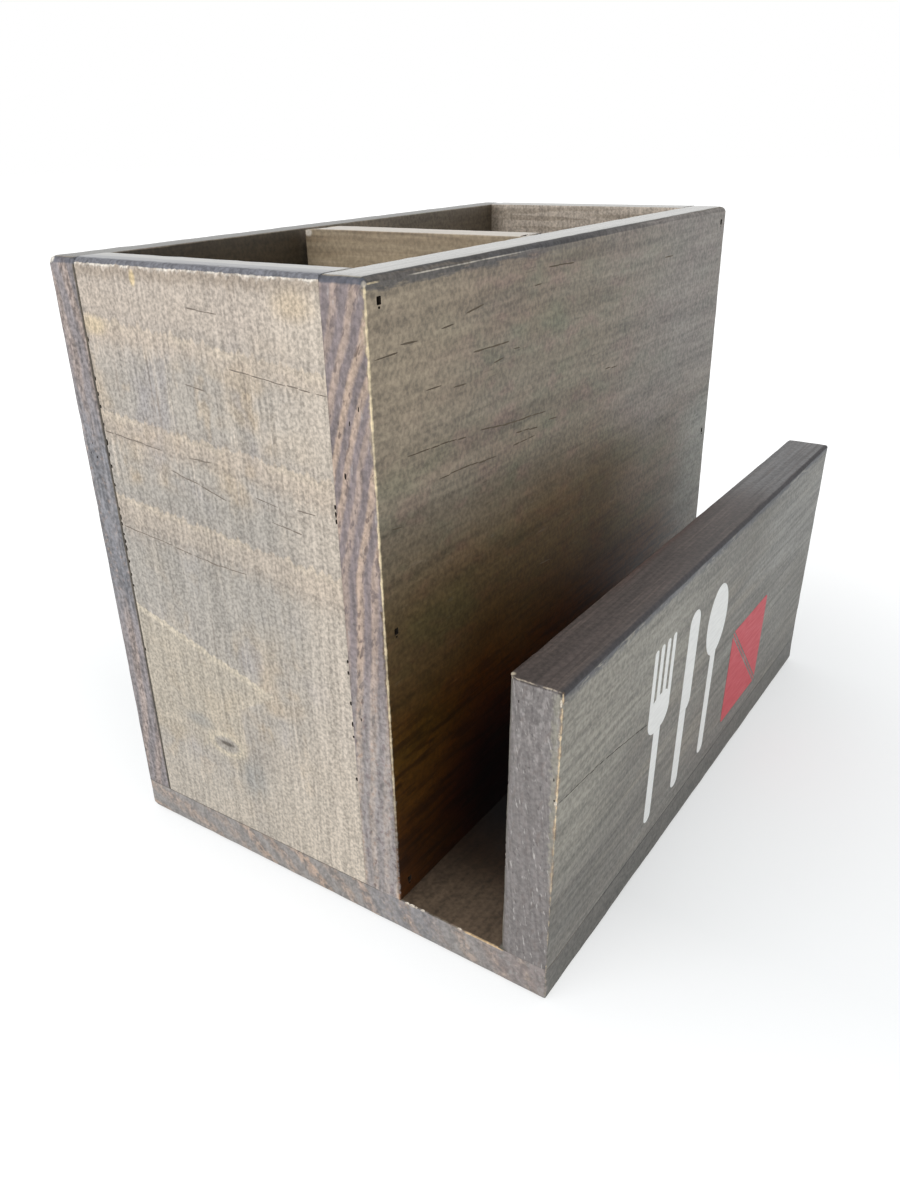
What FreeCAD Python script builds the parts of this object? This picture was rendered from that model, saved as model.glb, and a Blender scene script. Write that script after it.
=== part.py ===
import FreeCAD, Part
import os
from FreeCAD import Vector

# Open table caddy of pine boards: two tall compartments side by side for cutlery or straws, and a
# low lip in front that holds a stack of folded napkins. The boards are butt-jointed, glued and
# held by 18-gauge brads. Millimetres, +Z up. X runs along the length, and -Y is the lip's side.
# The origin is under the middle of the overall box, on the surface that the caddy stands on.

# ---- driving dimensions: the boards ----
CADDY_LENGTH = 180.0
RIM_HEIGHT = 150.0
LIP_TOP_HEIGHT = 80.0
LIP_LEAN = 2.0                    # how far the lip's top stands in front of its foot
BASE_THICKNESS = 9.5
LIP_THICKNESS = 12.4
FRONT_THICKNESS = 10.5
BACK_THICKNESS = 9.0
END_THICKNESS = 10.0
DIVIDER_THICKNESS = 10.0

# ---- driving dimensions: the spaces between them ----
SLOT_WIDTH = 26.6                 # napkin slot, at its foot
COMPARTMENT_DEPTH = 69.5          # between the front board and the back board
LEFT_COMPARTMENT_WIDTH = 62.5
DIVIDER_BACK_GAP = 1.5            # the divider is cut short of the back board

# ---- driving dimensions: sanded edges ----
RIM_ROUND = 1.5                   # outer edge round the rim
LIP_ROUND = 1.5                   # outer long edge of the lip's top
LIP_INNER_ROUND = 0.8             # its inner long edge
LIP_END_ROUND = 2.8               # the lip's upright corners on the slot's side
FOOT_ROUND = 0.6                  # the edges that the caddy stands on
CORNER_EASE = 0.5                 # upright outer corners
DIVIDER_CORNER_ROUND = 4.0        # the divider's top corner at its loose end

# ---- driving dimensions: brads ----
BRAD_LENGTH = 25.0
BRAD_WIDTH = 1.25
BRAD_DEPTH = 1.0
BRAD_HEAD_WIDTH = 2.2
BRAD_HEAD_HEIGHT = 0.8
BRAD_POINT_LENGTH = 2.0
BRAD_POINT_WIDTH = 0.2
BRAD_SUNK = 1.2                   # head's top below the wood's face
UPRIGHT_BRAD_INSET = 4.2          # from the rim and from the base to the nearest brad
OUTER_BRAD_INSET = 3.8            # from the caddy's ends to the brads into the end panels
LONG_ROW_INSET = 24.0             # first and last brad of the rows along the caddy
TIP_CLEARANCE = 4.0               # between the tip of one brad and the side of the next

# ---- places worked out from them ----
BASE_DEPTH = LIP_THICKNESS + SLOT_WIDTH + FRONT_THICKNESS + COMPARTMENT_DEPTH + BACK_THICKNESS
X_LEFT = -CADDY_LENGTH / 2
X_RIGHT = CADDY_LENGTH / 2
X_ROOM_LEFT = X_LEFT + END_THICKNESS
X_ROOM_RIGHT = X_RIGHT - END_THICKNESS
X_DIVIDER = X_ROOM_LEFT + LEFT_COMPARTMENT_WIDTH
Y_FOOT = LIP_LEAN - (BASE_DEPTH + LIP_LEAN) / 2
Y_SLOT = Y_FOOT + LIP_THICKNESS
Y_FRONT = Y_SLOT + SLOT_WIDTH
Y_ROOM_FRONT = Y_FRONT + FRONT_THICKNESS
Y_ROOM_BACK = Y_ROOM_FRONT + COMPARTMENT_DEPTH
Y_BACK = Y_ROOM_BACK + BACK_THICKNESS
Z_FLOOR = BASE_THICKNESS
TOUCH = 1e-4                      # how closely an edge lies on a plane to count as on it


def board(x_span, y_span, z_span):
    """A square-edged board that fills three spans."""
    lows = [span[0] for span in (x_span, y_span, z_span)]
    sizes = [span[1] - span[0] for span in (x_span, y_span, z_span)]
    return Part.makeBox(*sizes, Vector(*lows))


def edges_on(shape, x=None, y=None, z=None):
    """The edges that lie on every plane given, such as x=0 and z=10."""
    found = []
    for edge in shape.Edges:
        box = edge.BoundBox
        spans = ((x, box.XMin, box.XMax), (y, box.YMin, box.YMax), (z, box.ZMin, box.ZMax))
        if all(max(abs(low - at), abs(high - at)) < TOUCH for at, low, high in spans if at is not None):
            found.append(edge)
    return found


def rounded(shape, rounds):
    """The shape with a radius on each edge: rounds is a list of (edges, radius)."""
    document = FreeCAD.newDocument("rounding")
    source = document.addObject("Part::Feature", "source")
    source.Shape = shape
    result = document.addObject("Part::Fillet", "rounded")
    result.Base = source
    numbers = []
    for edges, radius in rounds:
        for edge in edges:
            number = next(i for i, other in enumerate(shape.Edges, 1) if other.isSame(edge))
            numbers.append((number, radius, radius))
    result.Edges = numbers
    document.recompute()
    finished = result.Shape.copy()
    FreeCAD.closeDocument(document.Name)
    if not finished.isValid() or len(finished.Solids) != 1:
        raise ValueError("an edge could not be rounded")
    return finished.Solids[0]


def save(name, shape):
    """One STEP file for one named piece, or for one group of identical fasteners."""
    shape.exportStep("parts/" + name + ".step")
    print(name, len(shape.Solids), "solids", round(shape.Volume, 1), "mm3")


# ---- brads ----
def brad():
    """A brad driven along +Z through the face z=0, its head sunk below that face."""
    top = BRAD_SUNK
    neck = top + BRAD_HEAD_HEIGHT
    shoulder = top + BRAD_LENGTH - BRAD_POINT_LENGTH
    tip = top + BRAD_LENGTH
    right = [
        (BRAD_HEAD_WIDTH / 2, top),
        (BRAD_HEAD_WIDTH / 2, neck),
        (BRAD_WIDTH / 2, neck),
        (BRAD_WIDTH / 2, shoulder),
        (BRAD_POINT_WIDTH / 2, tip),
    ]
    outline = right + [(-across, along) for across, along in reversed(right)]
    corners = [Vector(across, -BRAD_DEPTH / 2, along) for across, along in outline]
    face = Part.Face(Part.makePolygon(corners + corners[:1]))
    return face.extrude(Vector(0, BRAD_DEPTH, 0))


def recess():
    """The open hole that the gun leaves above a brad's head."""
    start = Vector(-BRAD_HEAD_WIDTH / 2, -BRAD_DEPTH / 2, 0)
    return Part.makeBox(BRAD_HEAD_WIDTH, BRAD_DEPTH, BRAD_SUNK, start)


def placed(shape, point, drive, across):
    """The shape with its own Z turned along drive and its own X along across, moved to a point."""
    turn = FreeCAD.Rotation(across, drive.cross(across), drive, "ZXY")
    moved = shape.copy()
    moved.Placement = FreeCAD.Placement(point, turn)
    return moved


def spaced(start, end, count):
    """Evenly spaced places from start to end, both included."""
    return [start + (end - start) * step / (count - 1) for step in range(count)]


def brad_places():
    """Each joint's brads: (point on the wood's face, drive direction, direction of the width)."""
    along, back, up = Vector(1, 0, 0), Vector(0, 1, 0), Vector(0, 0, 1)
    heights = spaced(Z_FLOOR + UPRIGHT_BRAD_INSET, RIM_HEIGHT - UPRIGHT_BRAD_INSET, 3)
    long_row = spaced(X_LEFT + LONG_ROW_INSET, X_RIGHT - LONG_ROW_INSET, 3)
    tip_front = Y_FRONT + BRAD_SUNK + BRAD_LENGTH + TIP_CLEARANCE
    tip_back = Y_BACK - BRAD_SUNK - BRAD_LENGTH - TIP_CLEARANCE
    short_row = spaced(tip_front, tip_back, 2)
    places = {}
    for side, x in (("left", X_LEFT + OUTER_BRAD_INSET), ("right", X_RIGHT - OUTER_BRAD_INSET)):
        places["brads_front_" + side] = [(Vector(x, Y_FRONT, z), back, up) for z in heights]
        places["brads_back_" + side] = [(Vector(x, Y_BACK, z), -back, up) for z in heights]
    for name, y in (
        ("lip", (Y_FOOT + Y_SLOT) / 2),
        ("front", (Y_FRONT + Y_ROOM_FRONT) / 2),
        ("back", (Y_ROOM_BACK + Y_BACK) / 2),
    ):
        places["brads_base_" + name] = [(Vector(x, y, 0), up, along) for x in long_row]
    for name, x in (
        ("left_end", (X_LEFT + X_ROOM_LEFT) / 2),
        ("right_end", (X_ROOM_RIGHT + X_RIGHT) / 2),
        ("divider", X_DIVIDER + DIVIDER_THICKNESS / 2),
    ):
        places["brads_base_" + name] = [(Vector(x, y, 0), up, back) for y in short_row]
    return places


# ---- boards ----
def base_board():
    """The floor of the slot and of both compartments, and what every other board stands on."""
    base = board((X_LEFT, X_RIGHT), (Y_FOOT, Y_BACK), (0, BASE_THICKNESS))
    corners = []
    for x in (X_LEFT, X_RIGHT):
        corners += edges_on(base, x=x, y=Y_FOOT) + edges_on(base, x=x, y=Y_BACK)
    return rounded(base, [(corners, CORNER_EASE), (edges_on(base, z=0), FOOT_ROUND)])


def long_board(y_span, y_outside):
    """A tall board the caddy's whole length, its outer edges rounded on the side y_outside."""
    wall = board((X_LEFT, X_RIGHT), y_span, (Z_FLOOR, RIM_HEIGHT))
    corners = []
    rim = edges_on(wall, y=y_outside, z=RIM_HEIGHT)
    for x in (X_LEFT, X_RIGHT):
        corners += edges_on(wall, x=x, y=y_outside)
        rim += edges_on(wall, x=x, z=RIM_HEIGHT)
    return rounded(wall, [(corners, CORNER_EASE), (rim, RIM_ROUND)])


def end_panel(x_span, x_outside):
    """A short wall between the front and back boards, its outer top edge rounded."""
    panel = board(x_span, (Y_ROOM_FRONT, Y_ROOM_BACK), (Z_FLOOR, RIM_HEIGHT))
    return rounded(panel, [(edges_on(panel, x=x_outside, z=RIM_HEIGHT), RIM_ROUND)])


def divider():
    """The wall between the compartments, glued to the front board and short of the back board."""
    y_loose = Y_ROOM_BACK - DIVIDER_BACK_GAP
    x_span = (X_DIVIDER, X_DIVIDER + DIVIDER_THICKNESS)
    wall = board(x_span, (Y_ROOM_FRONT, y_loose), (Z_FLOOR, RIM_HEIGHT))
    return rounded(wall, [(edges_on(wall, y=y_loose, z=RIM_HEIGHT), DIVIDER_CORNER_ROUND)])


def front_lip():
    """The low board in front of the slot, standing on the base and leaning a little outward."""
    y_top = Y_FOOT - LIP_LEAN
    y_top_inside = Y_SLOT - LIP_LEAN
    outline = [
        Vector(X_LEFT, Y_FOOT, Z_FLOOR),
        Vector(X_LEFT, Y_SLOT, Z_FLOOR),
        Vector(X_LEFT, y_top_inside, LIP_TOP_HEIGHT),
        Vector(X_LEFT, y_top, LIP_TOP_HEIGHT),
    ]
    lip = Part.Face(Part.makePolygon(outline + outline[:1])).extrude(Vector(CADDY_LENGTH, 0, 0))
    upright = edges_on(lip, x=X_LEFT) + edges_on(lip, x=X_RIGHT)
    upright = [edge for edge in upright if edge.BoundBox.ZLength > TOUCH]
    outer = [edge for edge in upright if edge.CenterOfMass.y < (y_top + Y_SLOT) / 2]
    inner = [edge for edge in upright if edge.CenterOfMass.y > (y_top + Y_SLOT) / 2]
    top_outer = edges_on(lip, y=y_top, z=LIP_TOP_HEIGHT)
    top_inner = edges_on(lip, y=y_top_inside, z=LIP_TOP_HEIGHT)
    return rounded(lip, [
        (outer, CORNER_EASE),
        (inner, LIP_END_ROUND),
        (top_outer, LIP_ROUND),
        (top_inner, LIP_INNER_ROUND),
    ])


def main():
    os.makedirs("parts", exist_ok=True)
    boards = {
        "base_board": base_board(),
        "back_board": long_board((Y_ROOM_BACK, Y_BACK), Y_BACK),
        "front_board": long_board((Y_FRONT, Y_ROOM_FRONT), Y_FRONT),
        "left_end_panel": end_panel((X_LEFT, X_ROOM_LEFT), X_LEFT),
        "right_end_panel": end_panel((X_ROOM_RIGHT, X_RIGHT), X_RIGHT),
        "divider": divider(),
        "front_lip": front_lip(),
    }
    one_brad = brad()
    one_hole = one_brad.fuse(recess()).removeSplitter()
    holes = []
    for name, places in brad_places().items():
        save(name, Part.makeCompound([placed(one_brad, *place) for place in places]))
        holes += [placed(one_hole, *place) for place in places]
    for name, solid in boards.items():
        drilled = solid.cut(holes)
        if len(drilled.Solids) != 1:
            raise ValueError(name + " is not one piece")
        save(name, drilled.Solids[0])


main()
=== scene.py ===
"""Napkin and cutlery caddy of stained pine boards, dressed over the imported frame."""

import math
import random

import bmesh
import bpy
from bpy.props import FloatProperty, FloatVectorProperty, PointerProperty
from mathutils import Matrix, Quaternion, Vector


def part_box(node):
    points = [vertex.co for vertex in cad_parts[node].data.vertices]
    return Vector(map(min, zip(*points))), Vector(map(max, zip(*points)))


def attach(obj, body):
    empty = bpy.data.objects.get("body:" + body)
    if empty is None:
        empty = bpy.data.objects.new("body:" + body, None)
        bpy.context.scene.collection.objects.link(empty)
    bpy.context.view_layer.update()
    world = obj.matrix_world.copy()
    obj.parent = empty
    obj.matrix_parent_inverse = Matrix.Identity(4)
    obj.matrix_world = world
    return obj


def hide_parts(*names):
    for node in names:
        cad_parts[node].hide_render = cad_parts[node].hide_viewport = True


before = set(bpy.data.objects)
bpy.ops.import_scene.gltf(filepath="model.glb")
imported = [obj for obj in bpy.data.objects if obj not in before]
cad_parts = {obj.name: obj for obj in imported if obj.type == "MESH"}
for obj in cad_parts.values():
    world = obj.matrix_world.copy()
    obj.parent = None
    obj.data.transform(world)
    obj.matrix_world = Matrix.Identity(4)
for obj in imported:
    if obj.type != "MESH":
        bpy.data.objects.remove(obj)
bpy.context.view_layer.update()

bl_info = {
    "name": "Napkin and cutlery caddy",
    "version": (1, 0, 0),
    "blender": (4, 5, 0),
    "location": "3D View > Sidebar > Caddy",
    "description": "Stained pine boards, brads and print of an open table caddy",
    "category": "Object",
}

MM = 0.001
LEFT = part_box("base_board")[0].x
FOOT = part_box("base_board")[0].y
FLOOR_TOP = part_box("base_board")[1].z
LIP_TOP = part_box("front_lip")[1].z
LIP_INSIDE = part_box("front_lip")[1].y
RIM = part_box("front_board")[1].z
FRONT_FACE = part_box("front_board")[0].y


def linear(text):
    """An sRGB hex colour as the linear RGBA that a socket takes."""
    parts = [int(text[place:place + 2], 16) / 255 for place in (1, 3, 5)]
    return tuple(p / 12.92 if p <= 0.04045 else ((p + 0.055) / 1.055) ** 2.4 for p in parts) + (1.0,)


def length(name, description, default):
    """One length for a property group, in metres."""
    return FloatProperty(name=name, description=description, default=default, min=0.0, unit="LENGTH",
                         precision=5)


def tint(name, description, default):
    """One colour for a property group, given as sRGB hex."""
    return FloatVectorProperty(name=name, description=description, default=linear(default)[:3],
                               subtype="COLOR", size=3, min=0.0, max=1.0)


class CaddySizes(bpy.types.PropertyGroup):
    """Lengths that shape the boards' edges, wear and print."""

    rim_round: length("Rim round", "Radius of the outer edge round the rim", 1.5 * MM)
    inner_round: length("Inner rim round", "Radius of the rim's edges over the compartments", 0.4 * MM)
    end_round: length("End round", "Radius of the top corners at the long boards' ends", 2.2 * MM)
    lip_round: length("Lip round", "Radius of the front edge of the lip's top", 1.1 * MM)
    lip_inner_round: length("Lip inner round", "Radius of the edge of the lip's top over the slot", 0.8 * MM)
    lip_end_round: length("Lip end round", "Radius of the lip's upright corners at the slot", 2.8 * MM)
    corner_ease: length("Corner ease", "Radius of the upright outer corners", 0.5 * MM)
    foot_round: length("Foot round", "Radius of the edges that the caddy stands on", 1.6 * MM)
    back_foot_round: length("Back foot round", "Radius of the base's lower back edge", 2.8 * MM)
    sawn_ease: length("Sawn ease", "Radius that sanding leaves on every other edge", 0.06 * MM)
    divider_round: length("Divider round", "Radius of the divider's top corner at its loose end", 4 * MM)
    lip_lean: length("Lip lean", "How far the lip's top stands in front of its foot", 2 * MM)
    grid: length("Grid", "Spacing of the lines that divide each board's faces", 2 * MM)
    wear: length("Wear", "Depth of the uneven sanding along the edges", 0.22 * MM)
    mouth_height: length("Brad mouth length", "Length of the open hole above a brad's head", 2.3 * MM)
    mouth_width: length("Brad mouth width", "Width of the open hole above a brad's head", 1.3 * MM)
    mouth_depth: length("Brad mouth depth", "Depth of the open hole above a brad's head", 1.25 * MM)


class CaddyColours(bpy.types.PropertyGroup):
    """Colours of the stain, the bare wood and the print."""

    face: tint("Long grain", "Stained faces of the long boards", "#857B6B")
    face_line: tint("Long grain, lines", "Growth lines in the long boards' faces", "#746959")
    panel: tint("End panels", "Brushed faces of the end panels", "#A9A197")
    tan: tint("Latewood tan", "Latewood bands that took little stain", "#B8A795")
    lip: tint("Lip", "Stained faces of the front lip and of the base's front", "#817E77")
    lip_top: tint("Lip top", "Top of the front lip, which the stain darkened most", "#473E3B")
    # Rubbed rim: its light grey is partly rubbed wood and partly a painted sheen, standing in for the
    # reflection on the flat tops.
    rim: tint("Rubbed rim", "Top edges, rubbed smooth", "#A9A8A4")
    # Rounded edges: painted shade, darker over the outer rounds under the rim than the faces on either side.
    rounded: tint("Rounded edges", "Stain pooled on the rounded edges under the rim", "#414042")
    # Blue-grey: painted shade over the outer rounds of the end panels' tops.
    blue: tint("Blue-grey stain", "Stain rubbed along the edges of the end panels", "#666870")
    end: tint("End grain", "Stained end grain of the upright boards", "#7D7273")
    end_tan: tint("End grain, latewood", "Latewood lines in the end grain", "#B9A18E")
    lip_end: tint("Lip end grain", "Stained end grain of the lip", "#797371")
    base_end: tint("Base end grain", "Stained end grain of the base", "#8F8A87")
    bare: tint("Bare pine", "Pine where the stain is worn off", "#E2D0AC")
    white_ink: tint("White ink", "Print on the lip", "#F6F6F3")
    red_ink: tint("Red ink", "Print on the lip", "#CC3543")


class CaddyStage(bpy.types.PropertyGroup):
    """The floor, the lamps and the camera."""

    floor: tint("Floor", "Colour of the floor", "#ECF0F2")
    key_power: FloatProperty(name="Key lamp", description="Power of the lamp at the left", default=4.8,
                             min=0.0, unit="POWER")
    ambient: FloatProperty(name="Ambient", description="Strength of the plain light all round",
                           default=0.82, min=0.0)
    lens: FloatProperty(name="Lens", description="Focal length of the camera", default=28.66, min=1.0,
                        unit="CAMERA")


# ---- shaping ----
GRID_ROOM = 1.2            # least spacing of a board's grid, in widths of its widest round
ARRIS_ANGLE = 1.0          # radians: faces that meet at more than this meet at an arris
SAME_PLACE = 0.01 * MM     # places nearer than this are one
WEAR_REACH = 0.1 * MM      # how far past a rounded edge the sanding wears the wood
WEAR_PATCH = 5 * MM        # size of the uneven patches that the sanding leaves
CRACK_PIECE = 10           # length of one spindle of a crack, in widths of the crack
MOUTH_CORNER = 0.2 * MM    # round of the corners of a brad's mouth
SMOOTH_ANGLE = 40          # degrees: faces that meet at less than this are shaded as one


def select_none():
    """Leave edit mode and deselect everything."""
    if bpy.context.object and bpy.context.object.mode != "OBJECT":
        bpy.ops.object.mode_set(mode="OBJECT")
    bpy.ops.object.select_all(action="DESELECT")


def make_active(*pieces):
    """Select these objects alone, the last of them active."""
    select_none()
    for piece in pieces:
        piece.select_set(True)
        bpy.context.view_layer.objects.active = piece


def pick(piece, kind, test):
    """In edit mode, select the vertices, edges or faces that pass the test, and no others."""
    bpy.ops.mesh.select_mode(type=kind)
    bpy.ops.mesh.select_all(action="DESELECT")
    mesh = bmesh.from_edit_mesh(piece.data)
    for item in {"VERT": mesh.verts, "EDGE": mesh.edges, "FACE": mesh.faces}[kind]:
        if test(item):
            item.select_set(True)
    bmesh.update_edit_mesh(piece.data)


def runs_along(axis):
    """A test for edges that run mostly along one axis."""
    def test(edge):
        way = edge.verts[1].co - edge.verts[0].co
        return max(range(3), key=lambda n: abs(way[n])) == axis
    return test


def apply_modifier(piece, kind, **settings):
    """Add one modifier to a piece, with its settings, and apply it."""
    make_active(piece)
    modifier = piece.modifiers.new(kind.lower(), kind)
    for name, value in settings.items():
        setattr(modifier, name, value)
    bpy.ops.object.modifier_apply(modifier=modifier.name)


def board(name, material, low, high, rounds, lean=0.0):
    """A board between two corners: gridded faces, rounded edges, uneven sanding along them.

    rounds is a list of (radius, axes), where axes gives each plane that the edge lies on, such as
    {"x": low.x, "z": high.z}; every other edge gets the small ease that sanding leaves."""
    sizes = bpy.context.scene.caddy_sizes
    widest = max([radius for radius, planes in rounds] + [sizes.sawn_ease])
    cell = max(sizes.grid, GRID_ROOM * widest)
    select_none()
    bpy.ops.mesh.primitive_cube_add(size=1.0, location=(low + high) / 2, scale=high - low)
    piece = bpy.context.object
    piece.name = name
    piece.data.name = name
    piece.data.materials.append(material)
    bpy.ops.object.transform_apply(location=True, rotation=False, scale=True)
    bpy.ops.object.mode_set(mode="EDIT")
    if lean:
        pick(piece, "VERT", lambda vert: vert.co.z > (low.z + high.z) / 2)
        bpy.ops.transform.translate(value=(0.0, -lean, 0.0))
    for axis in range(3):
        pick(piece, "EDGE", runs_along(axis))
        bpy.ops.mesh.subdivide(number_cuts=max(1, round((high - low)[axis] / cell) - 1))

    def straight(point):
        return Vector((point.x, point.y + lean * (point.z - low.z) / (high.z - low.z), point.z))

    def is_arris(edge):
        return edge.calc_face_angle() > ARRIS_ANGLE

    def on_planes(planes):
        def test(edge):
            ends = [straight(vert.co) for vert in edge.verts]
            return is_arris(edge) and all(
                abs(getattr(end, axis) - at) < SAME_PLACE for end in ends for axis, at in planes.items())
        return test

    pick(piece, "EDGE", is_arris)
    bpy.ops.transform.edge_bevelweight(value=sizes.sawn_ease / widest)
    for radius, planes in rounds:
        pick(piece, "EDGE", on_planes(planes))
        bpy.ops.transform.edge_bevelweight(value=(radius - sizes.sawn_ease) / widest)
    select_none()
    apply_modifier(piece, "BEVEL", limit_method="WEIGHT", width=widest, segments=3,
                   use_clamp_overlap=False)
    wear_edges(piece, low, high, rounds, lean)
    return piece


def wear_edges(piece, low, high, rounds, lean):
    """Move the vertices along the rounded edges a little inwards, by an uneven amount."""
    sizes = bpy.context.scene.caddy_sizes
    make_active(piece)
    bpy.ops.object.mode_set(mode="EDIT")

    def on_round(vert):
        y = vert.co.y + lean * (vert.co.z - low.z) / (high.z - low.z)
        at = {"x": vert.co.x, "y": y, "z": vert.co.z}
        return any(all(abs(at[axis] - plane) < radius + WEAR_REACH for axis, plane in planes.items())
                   for radius, planes in rounds)

    pick(piece, "VERT", on_round)
    group = piece.vertex_groups.new(name="edges")
    piece.vertex_groups.active_index = group.index
    bpy.ops.object.vertex_group_assign()
    select_none()
    texture = bpy.data.textures.new(piece.name + "_sanding", "CLOUDS")
    texture.noise_scale = WEAR_PATCH
    texture.noise_depth = 2
    apply_modifier(piece, "DISPLACE", texture=texture, texture_coords="LOCAL", vertex_group="edges",
                   mid_level=0.0, strength=-sizes.wear)
    piece.vertex_groups.clear()


def joined_cutters(material, shapes):
    """Copies of a pointed spindle, one for each (centre, sizes, turn), joined into one cutter."""
    select_none()
    bpy.ops.mesh.primitive_uv_sphere_add(segments=8, ring_count=6, radius=1.0)
    spindle = bpy.context.object
    spindle.data.materials.append(material)
    cutters = []
    for centre, radii, turn in shapes:
        cutter = spindle.copy()
        cutter.data = spindle.data.copy()
        bpy.context.collection.objects.link(cutter)
        cutter.matrix_world = Matrix.LocRotScale(Vector(centre), turn, Vector(radii))
        cutters.append(cutter)
    bpy.data.objects.remove(spindle)
    make_active(*cutters)
    bpy.ops.object.join()
    bpy.ops.object.transform_apply(location=True, rotation=True, scale=True)
    return bpy.context.object


def cut(piece, cutter):
    """Take the cutter's shape out of the piece, and give the cut faces the cutter's material."""
    apply_modifier(piece, "BOOLEAN", operation="DIFFERENCE", solver="MANIFOLD", object=cutter,
                   material_mode="TRANSFER")
    bpy.data.objects.remove(cutter)


def cut_in_turn(piece, material, shapes):
    """Take spindles that overlap their neighbours out of the piece, every second one at a time."""
    for first in (0, 1):
        cut(piece, joined_cutters(material, shapes[first::2]))


def crack_shapes(runs, place, normal, width, depth):
    """Overlapping spindles for cracks along the grain: each run is a list of points, in mm."""
    chance = random.Random(len(runs))
    shapes = []
    for run in runs:
        for start, end in zip(run, run[1:]):
            a, b = place(*start), place(*end)
            way = b - a
            turn = Matrix((normal.cross(way.normalized()), normal, way.normalized())).transposed()
            count = max(1, round(way.length / (CRACK_PIECE * width)))
            for number in range(count):
                centre = a + way * (number + chance.uniform(0.35, 0.65)) / count
                centre += turn @ Vector((chance.uniform(-0.5, 0.5) * width, 0.0, 0.0))
                wide = width * chance.uniform(0.3, 0.6)
                long = way.length / count * chance.uniform(0.45, 0.7)
                shapes.append((centre, (wide, depth, long), turn.to_quaternion()))
    return shapes


def mouth_cutter(material, places):
    """Slots with soft corners for the holes above brad heads: (centre on the face, full sizes)."""
    boxes = []
    for centre, size in places:
        select_none()
        bpy.ops.mesh.primitive_cube_add(size=1.0, location=centre, scale=size)
        boxes.append(bpy.context.object)
    make_active(*boxes)
    bpy.ops.object.join()
    bpy.ops.object.transform_apply(location=True, rotation=True, scale=True)
    cutter = bpy.context.object
    cutter.data.materials.append(material)
    apply_modifier(cutter, "BEVEL", width=MOUTH_CORNER, segments=2)
    return cutter


def finish_board(piece, node):
    """Give a finished board its shading, and let it stand for its node."""
    make_active(piece)
    bpy.ops.object.mode_set(mode="EDIT")
    pick(piece, "EDGE", lambda edge: len({face.material_index for face in edge.link_faces}) > 1)
    bpy.ops.mesh.mark_sharp()
    make_active(piece)
    bpy.ops.object.shade_smooth_by_angle(angle=math.radians(SMOOTH_ANGLE))
    apply_modifier(piece, "WEIGHTED_NORMAL", keep_sharp=True)
    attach(piece, "root")
    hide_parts(node)
    select_none()


# ---- materials ----
SWAYS_ALONG = 7.0      # waves of the growth rings per metre, along the grain
SWAYS_ACROSS = 30.0    # and across it
WIDE_FADE = 3.0        # mm: a stain that fades over more than this also drifts in soft clouds


def add(tree, kind, inputs=(), out=0, ramp=None, **settings):
    """Add one shader node, set or link its inputs, and return the output asked for.

    inputs is a tuple in the node's own order, where None leaves a socket alone, or a dict by name
    or number. ramp gives a Color Ramp its stops: (place, colour) pairs."""
    made = tree.nodes.new("ShaderNode" + kind)
    for name, value in settings.items():
        setattr(made, name, value)
    if ramp:
        stops = made.color_ramp.elements
        while len(stops) < len(ramp):
            stops.new(1.0)
        for stop, (place, colour) in zip(stops, ramp):
            stop.position = place
            stop.color = colour
    for key, value in inputs.items() if isinstance(inputs, dict) else enumerate(inputs):
        if isinstance(value, bpy.types.NodeSocket):
            tree.links.new(value, made.inputs[key])
        elif value is not None:
            made.inputs[key].default_value = value
    return made.outputs[out] if made.outputs else made


def new_material(name):
    """An empty node material."""
    material = bpy.data.materials.new(name)
    material.use_nodes = True
    material.node_tree.nodes.clear()
    return material, material.node_tree


def grey(value):
    """One grey as RGBA."""
    return (value, value, value, 1.0)


def stretched(tree, place, sizes, detail=2.0, roughness=0.55):
    """Noise whose grains have three sizes in millimetres, and may lean by a fourth, in degrees."""
    if len(sizes) == 4:
        place = add(tree, "VectorRotate", {"Vector": place, "Angle": math.radians(sizes[3])},
                    rotation_type="X_AXIS")
    elif sizes[0] == sizes[1] == sizes[2]:
        place = add(tree, "VectorRotate", {"Vector": place, "Axis": (0.3, 0.5, 0.8), "Angle": 0.9},
                    rotation_type="AXIS_ANGLE")
    scales = tuple(1 / (size * MM) for size in sizes[:3])
    scaled = add(tree, "VectorMath", (place, scales), operation="MULTIPLY")
    return add(tree, "TexNoise", {"Vector": scaled, "Scale": 1.0, "Detail": detail,
                                  "Roughness": roughness})


def lightness(tree, place, textures):
    """How much lighter or darker several noises make a place: each is (sizes in mm, strength)."""
    tone = 1.0
    for sizes, strength in textures:
        noise = stretched(tree, place, sizes)
        swing = add(tree, "MapRange", (noise, 0.3, 0.7, -strength, strength),
                    interpolation_type="SMOOTHSTEP")
        tone = add(tree, "Math", (tone, swing), operation="ADD")
    return tone


def strewn(tree, place, colour, marks):
    """Small marks strewn over a colour: each is (colour, sizes in mm, start, end, amount)."""
    for shade, sizes, start, end, amount in marks:
        noise = stretched(tree, place, sizes)
        mask = add(tree, "MapRange", (noise, start, end, 0.0, amount), interpolation_type="SMOOTHSTEP")
        colour = add(tree, "Mix", {0: mask, 6: colour, 7: linear(shade)}, out=2, data_type="RGBA")
    return colour


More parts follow.
